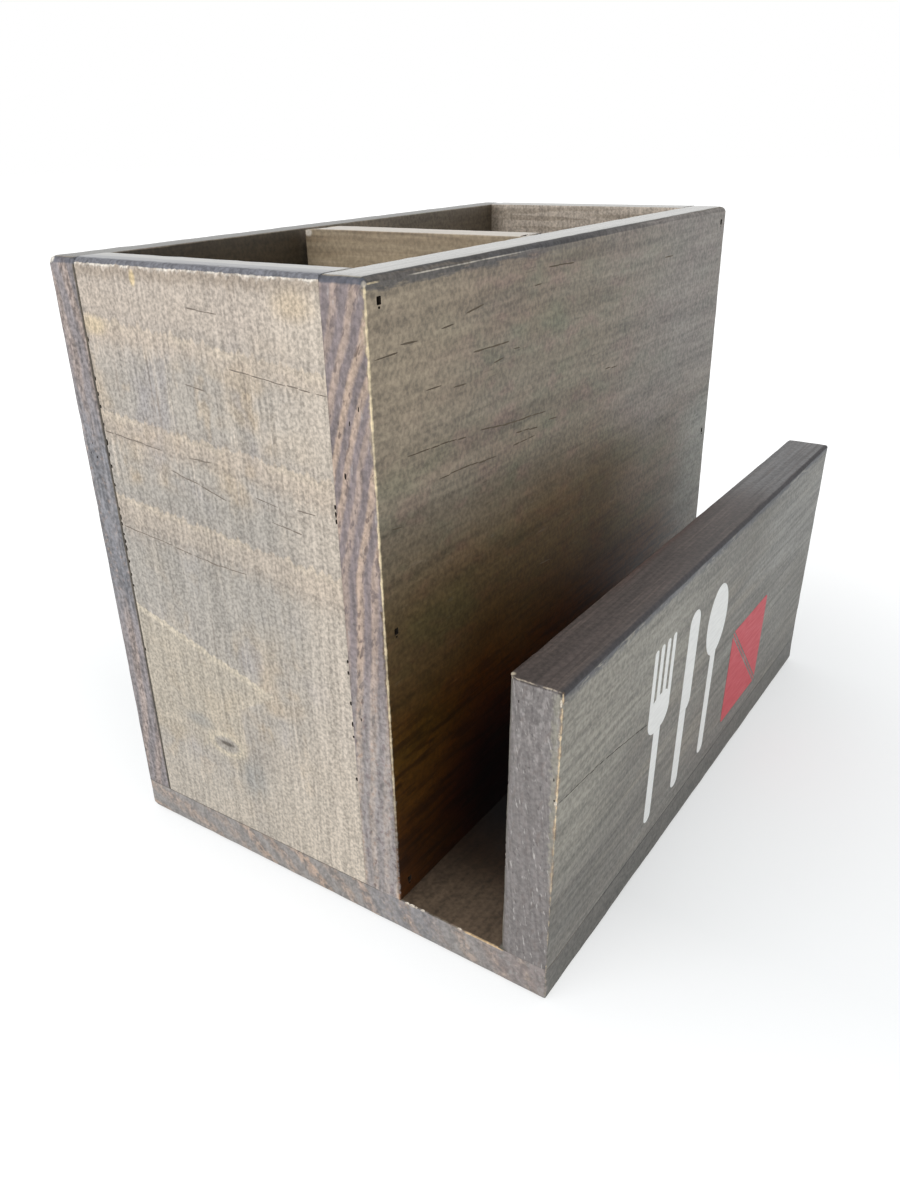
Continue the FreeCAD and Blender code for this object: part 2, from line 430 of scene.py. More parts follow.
def growth_rings(tree, along, across, look):
    """Growth rings round a pith that lies along the board: the ring's own phase, and its number."""
    long_sway = add(tree, "Math", (along, SWAYS_ALONG), operation="MULTIPLY")
    first_sway = add(tree, "Math", (across[0], SWAYS_ACROSS), operation="MULTIPLY")
    second_sway = add(tree, "Math", (across[1], SWAYS_ACROSS, look["seed"]), operation="MULTIPLY_ADD")
    sway = add(tree, "CombineXYZ", (long_sway, first_sway, second_sway))
    bend = add(tree, "TexNoise", {"Vector": sway, "Scale": 1.0, "Detail": 2.0})
    section = add(tree, "CombineXYZ", (across[0], across[1]))
    pith = (look["pith"][0] * MM, look["pith"][1] * MM, 0.0)
    radius = add(tree, "VectorMath", (section, pith), out="Value", operation="DISTANCE")
    wandered = add(tree, "Math", (bend, look["waver"] * MM, radius), operation="MULTIPLY_ADD")
    number = add(tree, "Math", (wandered, look["pitch"] * MM), operation="DIVIDE")
    whole = add(tree, "Math", (number,), operation="FLOOR")
    phase = add(tree, "Math", (number,), operation="FRACT")
    return phase, whole


def laid_over(tree, place, colour, rough, areas, drift, cloud):
    """Stains, worn lines, and painted light and shade laid over a colour and its roughness, each at its own
    place.

    An area is (colour, amount, bounds, raggedness in mm, blend, and for some a roughness). A bound
    of three is (direction, start, end) in mm: the area fades in from start to end along the
    direction. A bound of four is (centre, half-sizes, inner, outer): the area fades out between
    two fractions of that ellipsoid. A bound of two is (sizes in mm, (start, end)): the area is
    broken up by noise of those sizes."""
    for shade, amount, bounds, ragged, how, *smooth in areas:
        mask = amount
        for bound in bounds:
            if len(bound) == 2:
                sizes, (start, end) = bound
                reach = stretched(tree, place, sizes)
            elif len(bound) == 3:
                direction, start, end = bound
                reach = add(tree, "VectorMath", (place, direction), out="Value", operation="DOT_PRODUCT")
                reach = add(tree, "Math", (drift, ragged * MM, reach), operation="MULTIPLY_ADD")
                fade = abs(end - start)
                if fade > WIDE_FADE:
                    reach = add(tree, "Math", (cloud, 0.7 * fade * MM, reach), operation="MULTIPLY_ADD")
                start, end = start * MM, end * MM
            else:
                centre, halves, end, start = bound
                away = add(tree, "VectorMath", (place, tuple(at * MM for at in centre)),
                           operation="SUBTRACT")
                away = add(tree, "VectorMath", (away, tuple(1 / (half * MM) for half in halves)),
                           operation="MULTIPLY")
                reach = add(tree, "VectorMath", (away,), out="Value", operation="LENGTH")
                reach = add(tree, "Math", (drift, ragged / max(halves), reach), operation="MULTIPLY_ADD")
            mask = add(tree, "MapRange", (reach, start, end, 0.0, mask), interpolation_type="SMOOTHSTEP")
        shade = linear(shade) if isinstance(shade, str) else (*shade, 1.0)
        colour = add(tree, "Mix", {0: mask, 6: colour, 7: shade}, out=2, data_type="RGBA", blend_type=how)
        if smooth:
            rough = add(tree, "Mix", {0: mask, 2: rough, 3: smooth[0]}, data_type="FLOAT")
    return colour, rough


def lacquered(tree, colour, roughness, height, relief):
    """The matt lacquer over stained wood, with its grain slightly raised."""
    bump = add(tree, "Bump", {"Height": height, "Strength": 1.0, "Distance": relief})
    shader = add(tree, "BsdfPrincipled", {"Base Color": colour, "Roughness": roughness,
                                          "Normal": bump})
    add(tree, "OutputMaterial", {"Surface": shader})


def stained_pine(name, look):
    """Flat-sawn pine, sanded, stained grey-brown and sealed with a matt lacquer.

    The eye sees speckled fibres, growth lines, blotches where the stain sank in unevenly, grey end grain
    with tan latewood, rubbed rims with a painted sheen, and bare wood along the worn edges; painted light
    and shade lie over some other areas too. Real fibres are 0.03 mm wide, too fine to show, so the speckle
    and the fibre streaks are drawn at 0.6 to 1 mm."""
    material, tree = new_material(name)
    place = add(tree, "TexCoord", out="Object")
    parts = add(tree, "SeparateXYZ", (place,), out=slice(3))
    grain = look["grain"]
    along, across = parts[grain], [parts[n] for n in (2, 1, 0) if n != grain]

    drift = stretched(tree, place, look["ragged"], 4.0, 0.6)
    drift = add(tree, "Math", (drift, 0.5), operation="SUBTRACT")
    cloud = stretched(tree, place, (45.0, 30.0, 30.0), 1.0)
    cloud = add(tree, "Math", (cloud, 0.5), operation="SUBTRACT")
    phase, number = growth_rings(tree, along, across, look)
    phase = add(tree, "Math", (drift, look["line_raggedness"], phase), operation="MULTIPLY_ADD")
    line = add(tree, "ValToRGB", (phase,), ramp=look["line"])
    chance = add(tree, "TexWhiteNoise", {"W": number}, noise_dimensions="1D")
    stain_taken = add(tree, "MapRange", (chance, 0.0, 1.0, 0.35, 1.0))
    ring = add(tree, "Math", (line, stain_taken), operation="MULTIPLY")

    amount = add(tree, "Math", (ring, look["ring_strength"]), operation="MULTIPLY")
    face = add(tree, "Mix", {0: amount, 6: look["face"], 7: look["face_line"]}, out=2, data_type="RGBA")
    face = strewn(tree, place, face, look["marks"])
    end_line = strewn(tree, place, look["end_line"], look["line_marks"])
    amount = add(tree, "Math", (ring, look["end_strength"]), operation="MULTIPLY")
    end = add(tree, "Mix", {0: amount, 6: look["end"], 7: end_line}, out=2, data_type="RGBA")
    end = strewn(tree, place, end, look["end_marks"])
    normal = add(tree, "SeparateXYZ", (add(tree, "TexCoord", out="Normal"),), out=slice(3))[grain]
    facing = add(tree, "Math", (normal,), operation="ABSOLUTE")
    is_end = add(tree, "MapRange", (facing, 0.6, 0.8), interpolation_type="SMOOTHSTEP")
    colour = add(tree, "Mix", {0: is_end, 6: face, 7: end}, out=2, data_type="RGBA")

    fibre = stretched(tree, place, by_grain(grain, 14.0, 0.6), 3.0, 0.6)
    speckle = stretched(tree, place, (1.0, 1.0, 1.0))
    rough = add(tree, "MapRange", (fibre, 0.2, 0.8, look["roughness"] + 0.08, look["roughness"] - 0.08))
    colour, rough = laid_over(tree, place, colour, rough, look["areas"], drift, cloud)
    tone = add(tree, "Mix", {0: is_end, 2: lightness(tree, place, look["textures"]),
                             3: lightness(tree, place, look["end_textures"])}, data_type="FLOAT")
    rubbed = add(tree, "MapRange", (parts[2], RIM - 0.25 * MM, RIM - 0.1 * MM))
    streaks = [(by_grain(grain, 30.0, 1.1), 0.11), ((1.0, 1.0, 1.0), 0.07)]
    tone = add(tree, "Mix", {0: rubbed, 2: tone, 3: lightness(tree, place, streaks)}, data_type="FLOAT")
    colour = add(tree, "HueSaturation", {"Color": colour, "Value": tone})
    height = add(tree, "Math", (fibre, speckle), operation="ADD")
    height = add(tree, "Math", (ring, 0.5, height), operation="MULTIPLY_ADD")
    lacquered(tree, colour, rough, height, 0.025 * MM)
    return material


def crack_material(name, deep, shallow):
    """Inside of a drying crack in pine: stain has run in and left it darker than the face, and the darkest
    kind also serves as painted shade inside brad holes, pits and gaps.
    """
    material, tree = new_material(name)
    speck = stretched(tree, add(tree, "TexCoord", out="Object"), (0.8, 0.8, 0.8))
    colour = add(tree, "Mix", {0: speck, 6: linear(deep), 7: linear(shallow)}, out=2, data_type="RGBA")
    lacquered(tree, colour, 0.7, speck, 0.05 * MM)
    return material


def bare_chip():
    """Torn bare pine where a splinter has come off: pale, dry and rough, with short fibres."""
    material, tree = new_material("pine_bare_torn")
    fibre = stretched(tree, add(tree, "TexCoord", out="Object"), (2.0, 0.3, 0.3))
    amount = add(tree, "MapRange", (fibre, 0.3, 0.7))
    colour = add(tree, "Mix", {0: amount, 6: linear("#B3A595"), 7: linear("#EDE6D8")}, out=2,
                 data_type="RGBA")
    lacquered(tree, colour, 0.75, fibre, 0.08 * MM)
    return material


def dull_steel():
    """Drawn steel brad head dulled by stain: dark grey with a soft, uneven gloss."""
    material, tree = new_material("steel_brad_dulled")
    film = stretched(tree, add(tree, "TexCoord", out="Object"), (0.5, 0.5, 0.5), 3.0)
    colour = add(tree, "Mix", {0: film, 6: linear("#3A352F"), 7: linear("#77726B")}, out=2,
                 data_type="RGBA")
    bump = add(tree, "Bump", {"Height": film, "Strength": 1.0, "Distance": 0.02 * MM})
    rough = add(tree, "MapRange", (film, 0.3, 0.7, 0.35, 0.6))
    shader = add(tree, "BsdfPrincipled", {"Base Color": colour, "Metallic": 1.0, "Roughness": rough,
                                          "Normal": bump})
    add(tree, "OutputMaterial", {"Surface": shader})
    return material


# ---- how each board was cut and stained ----
X, Y, Z = (1.0, 0.0, 0.0), (0.0, 1.0, 0.0), (0.0, 0.0, 1.0)


def by_grain(grain, long_wise, cross_wise):
    """Three sizes, the long one along the grain's axis."""
    return tuple(long_wise if n == grain else cross_wise for n in range(3))


def look_of(grain, pith, **changes):
    """One board's settings for the pine: its own cut from the log, and its own stain."""
    colours = bpy.context.scene.caddy_colours
    look = {
        "grain": grain, "pith": pith, "pitch": 3.6, "waver": 9.0, "seed": 0.0, "roughness": 0.46,
        "ragged": by_grain(grain, 9.0, 1.6), "line_raggedness": 0.35, "areas": [],
        "line": [(0.0, grey(0.1)), (0.3, grey(0.0)), (0.52, grey(0.8)), (0.8, grey(1.0)), (0.97, grey(0.1))],
        "face": (*colours.face, 1.0), "face_line": (*colours.face_line, 1.0), "ring_strength": 0.5,
        "marks": [
            ("#74765F", by_grain(grain, 46.0, 20.0), 0.5, 0.66, 0.55),
            ("#8A7767", by_grain(grain, 36.0, 15.0), 0.5, 0.66, 0.5),
            ("#6E7160", by_grain(grain, 12.0, 5.0), 0.52, 0.7, 0.3),
            ("#8B7069", by_grain(grain, 10.0, 4.5), 0.52, 0.7, 0.35),
            ("#564A39", by_grain(grain, 9.0, 0.9), 0.66, 0.76, 0.45),
        ],
        "end": (*colours.end, 1.0), "end_line": (*colours.end_tan, 1.0), "end_strength": 1.0,
        "line_marks": [("#66544A", (1.6, 1.2, 3.0, -18.0), 0.53, 0.62, 0.85)],
        "end_marks": [("#A8A09D", (1.2, 1.0, 4.0), 0.64, 0.74, 0.5),
                      ("#534B4A", (1.3, 1.1, 2.0), 0.66, 0.75, 0.55)],
        "textures": [((1.0, 1.0, 1.0), 0.25), (by_grain(grain, 26.0, 1.3), 0.13),
                     (by_grain(grain, 70.0, 5.0), 0.09), ((3.2, 3.2, 3.2), 0.09)],
        "end_textures": [((1.0, 1.0, 1.0), 0.22), ((1.4, 1.0, 14.0), 0.16), ((6.0, 5.0, 9.0), 0.08)],
    }
    look.update(changes)
    return look


SPECKS = ((2.5, 2.5, 2.5), (0.42, 0.56))    # breaks an area up into specks
RIM_TOP = (Z, 149.75, 149.9)                # the flat top of the tall boards
LEFT_ENDS = (X, -89.6, -89.9)               # the boards' ends at the left
SLOT_FLOOR = (Z, 9.2, 9.4)                  # the base's upper face
LIP_FACE = (Y, -62.5, -63.0)                # the lip's front
LIP_TOP_FACE = (Z, 79.2, 79.6)              # the lip's top


def rim_with_painted_sheen_and_shade(shade, gloss, inner, outer):
    """The areas that a long board's top shows: rubbed smooth and lighter with a painted sheen, then painted
    shade over its outer round.
    """
    colours = bpy.context.scene.caddy_colours
    over_round = ((Z, 148.5, 148.8), (Y, inner, outer))
    return [
        (shade, 1.0, (RIM_TOP,), 0.1, "MIX", gloss),
        (colours.rounded, 0.55, over_round, 0.4, "MIX", 0.8),
        (colours.rounded, 0.85, (*over_round, (X, 75, 10)), 0.4, "MIX", 0.8),
    ]


def front_board_look():
    """Olive-brown and blue-grey under the rim, with painted light lighter and warmer at the upper left, and
    painted shade dark down in the slot.
    """
    colours = bpy.context.scene.caddy_colours
    face = (Y, -23.0, -23.7)
    return look_of(0, (20.0, -390.0), seed=5.0, line_raggedness=0.26, waver=7.0, ring_strength=0.8,
                   areas=rim_with_painted_sheen_and_shade(colours.rim, 0.24, -22.4, -22.8) + [
        # Painted light: lighter and warmer towards the upper left.
        ("#9A8B76", 0.85, ((X, -40, -80), (Z, 100, 130), face), 3.0, "MIX"),
        ("#8A8480", 0.7, ((X, -10, 60), (Z, 60, 110), face), 3.0, "MIX"),
        # Painted shade: multiplied darker and browner towards the lip's top and down into the slot, deepest
        # low down and less near the slot's open left end; one of them is broken into blotches.
        ("#BFAC88", 1.0, ((X, 74, 0), (Z, 113, 82), face), 3.0, "MULTIPLY"),
        ("#E8BF62", 1.0, ((X, 75, 20), (Z, 82, 50), face), 2.0, "MULTIPLY"),
        ("#D8B898", 1.0, ((Z, 50, 20), face), 2.0, "MULTIPLY"),
        ("#DDB48C", 1.0, ((X, -84, -54), (Z, 74, 44), face), 2.0, "MULTIPLY"),
        ("#7A4A36", 1.0, ((X, -80, -52), (Z, 50, 26), face), 2.0, "MULTIPLY"),
        ("#8C7C6A", 0.7, ((Z, 75, 45), face, ((14.0, 5.0, 1.6), (0.48, 0.62))), 2.0, "MULTIPLY"),
        ("#959893", 0.55, ((X, 40, 84), (Z, 96, 84), face), 3.0, "MIX"),
        ("#ACA8A4", 0.42, (LEFT_ENDS, (Z, 90, 45), (Y, -13.0, -14.0)), 3.0, "MIX"),
        ("#4C4C4F", 0.8, ((Z, 146.9, 147.9), (X, 10, -40), face), 5.0, "MIX"),
        ("#D8D0C2", 0.7, ((Z, 148.6, 148.7), (Z, 148.95, 148.85), (X, -10, -60), (X, -78, -74), face,
                          ((16.0, 2.0, 2.0), (0.34, 0.5))), 0.15, "MIX"),
        (colours.bare, 0.8, ((Z, 148.5, 148.6), (Z, 148.9, 148.8), (X, -85, -87), face), 0.2, "MIX"),
        (colours.bare, 0.6, ((X, -89.5, -89.75), (Y, -23.5, -23.75), (Z, 16, 50)), 0.4, "MIX"),
        ("#E6D3AE", 0.7, ((X, -89.4, -89.7), (Y, -23.4, -23.7), (Z, 30, 60), SPECKS), 0.6, "MIX"),
        # Painted shade, blue-grey, over the rim's round at the left end.
        ("#4F525C", 0.9, ((X, -88.9, -89.3), (Z, 148.3, 148.8)), 0.5, "MIX", 0.8),
        # Painted highlight on the top corner at the left end.
        ("#D0C6B8", 0.6, (((-89.8, -23.8, 148.8), (0.8, 0.8, 0.8), 0.3, 1.0),), 0.5, "MIX"),
    ])


def back_board_look():
    """Like the front board, with plainer end grain, and painted shade that makes its inside dark brown."""
    inside = ((Z, 149.8, 149.5), (Y, 57.0, 56.4))
    return look_of(0, (60.0, 420.0), seed=9.0, pitch=5.0, end=linear("#817A7B"),
                   end_line=linear("#A8968B"), end_strength=0.85,
                   end_textures=[((1.0, 1.0, 1.0), 0.32), ((1.4, 1.0, 16.0), 0.3), ((6.0, 5.0, 12.0), 0.1)],
                   # The back rim is painted darker and duller than the front one: painted shade, for the
                   # weaker sheen that its top shows.
                   areas=rim_with_painted_sheen_and_shade("#7C7B78", 0.42, 63.4, 63.8) + [
        ("#74757A", 0.8, ((X, -89.5, -89.9), (Z, 128, 100), (Z, 55, 75)), 3.0, "MIX"),
        # Painted shade: the inside face darkened to brown, most in the left compartment and towards the
        # right end.
        ("#72685A", 0.95, inside, 0.5, "MIX"),
        ("#463C2E", 0.7, (*inside, (X, 15, 75)), 0.5, "MIX"),
        ("#372E20", 0.9, (*inside, (X, -12, -20)), 0.5, "MIX"),
        # Painted shade, blue-grey, over the rim's round at the left end.
        ("#4F525C", 0.8, ((X, -88.9, -89.3), (Z, 148.3, 148.8)), 0.5, "MIX", 0.8),
        ("#4A4543", 0.7, ((X, -89.4, -89.7), (Y, 64.3, 64.6)), 0.4, "MIX"),
        ("#E4DED4", 0.9, (((-90, 64.3, 149.2), (2.5, 1.4, 1.0), 0.5, 1.0),), 1.2, "MIX"),
    ])


PANEL_WAY = (0.0, -0.09, 1.0)


def panel_look(seed, outer, shift):
    """Faint latewood bands with a crisp upper edge, brushed across into fine upright streaks."""
    colours = bpy.context.scene.caddy_colours
    inner = math.copysign(80.0, outer[0])
    inside = (X, inner * 1.005, inner * 0.998)
    areas = [
        ("#B7AA9D", 0.9, ((Z, 126, 140),), 3.0, "MIX"),
        ("#B5AB9E", 0.85, ((Z, 34, 12),), 3.0, "MIX"),
        ("#9F9991", 0.7, ((Z, 103, 99), (Z, 56, 74)), 3.0, "MIX"),
        ("#BDB1A3", 0.85, ((Y, 8, -10),), 3.0, "MIX"),
        ("#C0B4A5", 0.55, ((Y, 20, 8), (Z, 50, 36)), 4.0, "MIX"),
    ]
    for edge, depth, amount in ((133.2, 4.5, 0.45), (112.0, 6.5, 0.55), (91.4, 8.0, 0.5)):
        edge += shift
        top = (PANEL_WAY, edge + 0.2, edge - 0.3)
        areas.append((colours.tan, amount, (top, (PANEL_WAY, edge - 1.4 * depth, edge - 0.5 * depth)), 6.0,
                      "MIX"))
        areas.append(("#C4B6A3", 0.5, (top, (PANEL_WAY, edge - 2.6, edge - 0.9),
                                       ((5.0, 14.0, 9.0), (0.36, 0.56))), 6.0, "MIX"))
        areas.append(("#948B83", 0.3, ((PANEL_WAY, edge + 3.0, edge + 0.6),
                                       (PANEL_WAY, edge - 0.2, edge + 0.2)), 6.0, "MIX"))
    for at, amount in ((106.9, 0.35), (85.0, 0.4), (101.8, 0.3), (83.0, 0.2)):
        areas.append(("#837970", amount, ((PANEL_WAY, at + 0.5, at), (PANEL_WAY, at - 0.8, at - 0.3)), 4.0,
                      "MIX"))
    areas += [
        ("#B3A799", 0.85, (inside,), 0.1, "MIX"),
        ("#7C705F", 0.6, (inside, ((6.0, 30.0, 1.6), (0.5, 0.62))), 0.1, "MIX"),
        # Painted shade in the inside corner by the back board.
        ("#5A4E3E", 0.7, (inside, (Y, 47, 57)), 0.1, "MIX"),
        # The top, rubbed, its light grey partly a painted sheen; then painted shade, blue-grey, over the
        # outer round.
        (colours.rim, 1.0, (RIM_TOP,), 0.1, "MIX", 0.28),
        (colours.blue, 0.95, ((Z, 148.8, 149.0), (X, outer[0], outer[1])), 0.6, "MIX", 0.75),
        ("#D6CFC4", 0.8, ((Z, 148.45, 148.6), (Z, 149.0, 148.85), (X, outer[0], outer[1]), SPECKS), 0.8,
         "MIX"),
        ("#8E7F6F", 0.6, ((Z, 144.9, 147.8), (Z, 148.6, 148.2), (X, outer[0], outer[1])), 5.0, "MIX"),
    ]
    return look_of(1, (60.0, -40.0), seed=seed, pitch=9.0, ragged=(1.6, 1.5, 9.0), line_raggedness=0.2,
                   face=(*colours.panel, 1.0), face_line=linear("#968D84"), ring_strength=0.4,
                   marks=[
                       ("#A09A94", (30.0, 26.0, 40.0), 0.48, 0.66, 0.5),
                       ("#B6A288", (30.0, 20.0, 14.0), 0.5, 0.68, 0.5),
                       ("#98949A", (20.0, 12.0, 16.0), 0.54, 0.7, 0.35),
                       ("#B8A182", (9.0, 6.0, 9.0), 0.56, 0.7, 0.35),
                       ("#CABEB0", (1.3, 0.85, 30.0), 0.58, 0.72, 0.65),
                       ("#867A70", (1.3, 0.85, 26.0), 0.60, 0.74, 0.6),
                       ("#7E746B", (6.0, 9.0, 0.9), 0.70, 0.78, 0.35),
                   ],
                   textures=[((0.75, 0.75, 0.75), 0.27), ((1.3, 0.8, 18.0), 0.15), ((1.3, 2.4, 50.0), 0.05)],
                   areas=areas)


def left_panel_look():
    """The panel whose lower part shows a faint patch round a small knot."""
    look = panel_look(8.0, (-88.3, -88.7), 0.0)
    patch = (0.0, -0.293, 1.0)
    lower = (0.0, 0.623, 1.0)
    knot = (-90, 29.6, 34.0)
    look["areas"] += [
        # Painted shade, blue-grey, over the outer part of the top.
        ("#85868A", 0.9, (RIM_TOP, (X, -84.2, -86.4)), 0.3, "MIX"),
        ("#B0A594", 0.7, ((Y, 22.5, 24.0), (patch, 51.4, 50.8), (Z, 26, 34)), 4.0, "MIX"),
        ("#B0A594", 0.7, ((Y, 24.0, 22.5), (patch, 51.4, 50.8), (lower, 60.6, 61.6)), 3.0, "MIX"),
        ("#C4B8A5", 0.85, ((patch, 51.4, 51.0), (patch, 48.5, 50.4), (Y, 9.5, 12.0)), 3.0, "MIX"),
        ("#BDB1A0", 0.65, ((lower, 60.4, 60.9), (lower, 63.4, 62.2), (Y, 10.0, 13.0), (Y, 24.5, 22.5)), 2.0,
         "MIX"),
        ("#BDB1A0", 0.6, ((Y, 21.8, 22.8), (Y, 25.2, 24.0), (Z, 31, 34), (Z, 48, 45)), 3.0, "MIX"),
        ("#BDB1A0", 0.5, (((-90, 49.5, 35.6), (6.0, 7.5, 1.6), 0.4, 1.0),), 3.0, "MIX"),
        ("#8E8C88", 0.6, (((-90, 39.0, 38.5), (6.0, 7.0, 3.0), 0.2, 1.0),), 4.0, "MIX"),
        ("#8E8E8C", 0.6, (((-90, 21.5, 27.0), (6.0, 7.0, 8.5), 0.1, 1.0),), 5.0, "MIX"),
        ("#C2B6A2", 0.8, ((knot, (6.0, 7.4, 4.2), 0.7, 1.0),), 1.5, "MIX"),
        ("#979088", 0.9, ((knot, (6.0, 5.4, 2.7), 0.6, 1.0),), 1.2, "MIX"),
        ("#4F463D", 0.9, (((-90, 29.4, 34.3), (6.0, 3.6, 0.9), 0.3, 1.0),), 0.8, "MIX"),
        ("#D9C08C", 0.6, (((-90, 37.5, 146.6), (6.0, 1.2, 2.2), 0.4, 1.0),), 1.0, "MIX"),
        ("#C9B58F", 0.5, (((-90, 53.0, 136.0), (6.0, 6.0, 3.0), 0.3, 1.0),), 2.0, "MIX"),
        ("#C2AE92", 0.6, (((-90, -6.5, 144.0), (6.0, 8.0, 4.5), 0.2, 1.0),), 3.0, "MIX"),
    ]
    return look


def base_look():
    """Grey end grain with tan flecks, a brown slot floor darkened further in by painted shade, and the lip's
    grey along the front.
    """
    colours = bpy.context.scene.caddy_colours
    return look_of(0, (-60.0, 75.0), seed=3.0, pitch=6.5, waver=12.0, end=(*colours.base_end, 1.0),
                   end_line=linear("#B49D8C"), end_strength=1.0, line_raggedness=0.5,
                   line_marks=[("#7C736D", (1.6, 1.6, 1.3, -35.0), 0.47, 0.57, 0.9)],
                   end_textures=[((1.0, 1.0, 1.0), 0.2), ((1.4, 1.0, 14.0), 0.08),
                                 ((6.0, 2.0, 7.0, 40.0), 0.1)], areas=[
        ("#66635E", 0.95, ((Y, -62.4, -62.8),), 0.3, "MIX"),
        ("#867B78", 0.7, (LEFT_ENDS, (Y, -40, -55)), 4.0, "MIX"),
        ("#807F84", 0.5, (LEFT_ENDS, (Y, -8, -18), (Y, -40, -30)), 4.0, "MIX"),
        ("#5B4C3D", 0.95, (SLOT_FLOOR, (X, -89.8, -89.4)), 0.3, "MIX"),
        # Painted shade: the slot floor multiplied darker further in from its open left end.
        ("#8A7256", 1.0, (SLOT_FLOOR, (X, -84, -66), (Y, -20, -25)), 0.3, "MULTIPLY"),
        ("#5A3A20", 1.0, (SLOT_FLOOR, (X, -76, -50), (Y, -20, -25)), 0.3, "MULTIPLY"),
        ("#4F463A", 0.7, (SLOT_FLOOR, (Y, -20, -14)), 0.3, "MIX"),
        ("#D9BB90", 0.9, ((Z, 9.1, 9.3), (X, -89.6, -89.8), (Y, -41.5, -42.5), (Y, -52.5, -51.5)), 0.5,
         "MIX"),
        ("#CDBFA5", 0.45, ((Y, -62.6, -62.85), (X, -89.6, -89.85), SPECKS), 0.6, "MIX"),
    ])


def lip_look():
    """Grey-brown face with painted light and shade, dark purple-brown top with painted shade over its front
    round, blue-grey smears under it, flecked end grain, and a painted highlight at the top of its end.
    """
    colours = bpy.context.scene.caddy_colours
    leaned = (0.0, 1.0, 0.02837)
    front = (leaned, -62.2, -62.5)
    return look_of(0, (45.0, -320.0), seed=20.0, pitch=2.2, face=(*colours.lip, 1.0),
                   face_line=linear("#6D675F"), ring_strength=0.6, end=(*colours.lip_end, 1.0),
                   end_line=linear("#858180"), end_strength=0.5,
                   marks=[
                       ("#8D8578", (50.0, 8.0, 8.0), 0.5, 0.66, 0.5),
                       ("#6B685F", (46.0, 6.0, 6.0), 0.5, 0.66, 0.5),
                       ("#56504A", (40.0, 1.2, 1.0), 0.62, 0.72, 0.5),
                       ("#9A9388", (34.0, 1.2, 1.0), 0.62, 0.72, 0.4),
                   ],
                   textures=[((1.0, 1.0, 1.0), 0.23), ((34.0, 1.4, 1.4), 0.2), ((60.0, 5.0, 5.0), 0.1)],
                   end_marks=[("#BDB8B4", (1.0, 0.7, 3.0, 10.0), 0.61, 0.70, 0.6),
                              ("#4C4645", (1.1, 1.0, 1.8, 10.0), 0.65, 0.73, 0.6)],
                   end_textures=[((0.9, 0.9, 0.9), 0.18), ((1.2, 0.8, 20.0, 6.0), 0.15)], areas=[
        # Painted light and shade on the lip's front: lighter at the left and upper right, darker towards the
        # foot and the lower right.
        ("#8F8B81", 0.9, ((X, 10, -50), (Z, 40, 58), LIP_FACE), 3.0, "MIX"),
        ("#8E897E", 0.8, ((X, -42, -80), (Z, 24, 44), LIP_FACE), 3.0, "MIX"),
        ("#86847F", 0.6, ((X, 20, 60), (Z, 35, 60), LIP_FACE), 3.0, "MIX"),
        ("#716C66", 0.6, ((Z, 34, 12), LIP_FACE), 3.0, "MIX"),
        ("#6E6A62", 0.5, ((X, 24, 64), (Z, 48, 26), LIP_FACE), 3.0, "MIX"),
        ("#525358", 0.9, ((Z, 76.0, 78.4), front), 5.0, "MIX"),
        (colours.lip_top, 1.0, ((Z, 79.0, 79.5),), 0.3, "MIX", 0.5),
        ("#6B3F33", 0.35, ((Z, 79.0, 79.5), (Y, -55.6, -52.1), (X, -50, -30), (X, 30, 0)), 2.0, "MIX"),
        ("#6A6A6B", 0.85, (LIP_TOP_FACE, (X, 8, 54)), 0.3, "MIX"),
        ("#2E2624", 0.45, (LIP_TOP_FACE, ((30.0, 1.0, 1.0), (0.5, 0.64))), 0.3, "MIX"),
        ("#73655D", 0.3, (LIP_TOP_FACE, ((24.0, 0.9, 0.9), (0.56, 0.7))), 0.3, "MIX"),
        # Painted shade over the round along the top's front edge.
        ("#333033", 0.92, ((Z, 78.5, 79.0), (leaned, -61.6, -62.2)), 0.6, "MIX", 0.7),
        ("#5C5046", 0.8, ((leaned, -50.9, -50.5), (Z, 79.6, 78.8)), 0.4, "MIX"),
        ("#A39D9A", 0.4, (LEFT_ENDS, (Z, 52, 68), ((6.0, 1.2, 3.0), (0.5, 0.6))), 1.0, "MIX"),
        ("#5A5352", 0.45, (LEFT_ENDS, (Z, 52, 68), ((7.0, 1.6, 4.0), (0.52, 0.62))), 1.0, "MIX"),
        ("#9C7C60", 0.6, ((X, -89.0, -89.7), (leaned, -61.9, -62.5), (Z, 20, 50), SPECKS), 1.2, "MIX"),
        ("#E6CEA8", 0.85, ((X, -89.55, -89.8), (leaned, -62.3, -62.55), (Z, 35, 55)), 0.9, "MIX"),
        ("#D9C4A2", 0.55, ((X, -89.6, -89.8), (leaned, -62.3, -62.55), (Z, 55, 35), SPECKS), 0.6, "MIX"),
        ("#D8C8AE", 0.6, ((X, -89.6, -89.85), (Z, 79.5, 79.75), SPECKS), 0.6, "MIX"),
        # Painted highlight on the rounded upright corner at the top of the left end.
        ("#E6D8BE", 0.85, (((-88.9, -53.4, 79.6), (1.0, 1.0, 0.8), 0.4, 1.0),), 0.5, "MIX"),
    ])


